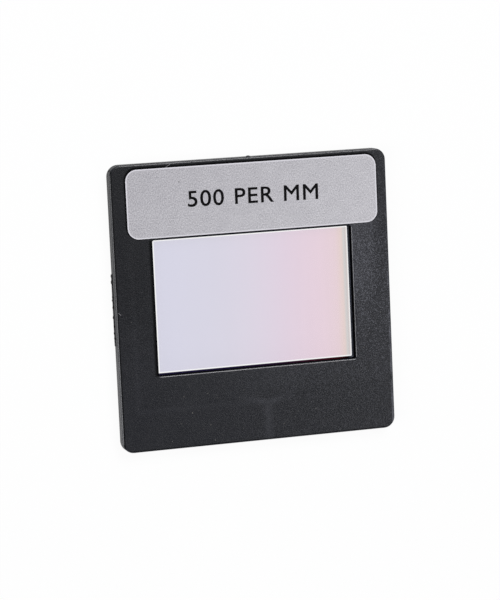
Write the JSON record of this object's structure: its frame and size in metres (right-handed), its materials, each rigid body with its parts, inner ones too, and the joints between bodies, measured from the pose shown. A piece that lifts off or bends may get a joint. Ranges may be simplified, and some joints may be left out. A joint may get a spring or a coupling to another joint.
{
  "type": "diffraction grating in a slide mount",
  "caption": "Sheet of diffraction grating film held between the two halves of a square black moulded slide mount, with a grey paper label above its window.",
  "frame": {"origin": "middle of the mount's back, in the plane that it lies on", "axes": "+Z out of the front of the mount, +X to the front's right and +Y towards the label's edge, which is its top in use"},
  "size_m": [0.0501, 0.0502, 0.0024],
  "materials": {
    "mount_plastic": "fine spark-eroded moulded grain",
    "grating_film": "clear film with a faint lilac to pink tint",
    "label_paper": "silver-grey paper with a fine fibre grain"
  },
  "bodies": {
    "root": {"front_half": "mount_plastic", "rear_half": "mount_plastic", "grating_film": "grating_film", "label": "label_paper"}
  },
  "joints": []
}
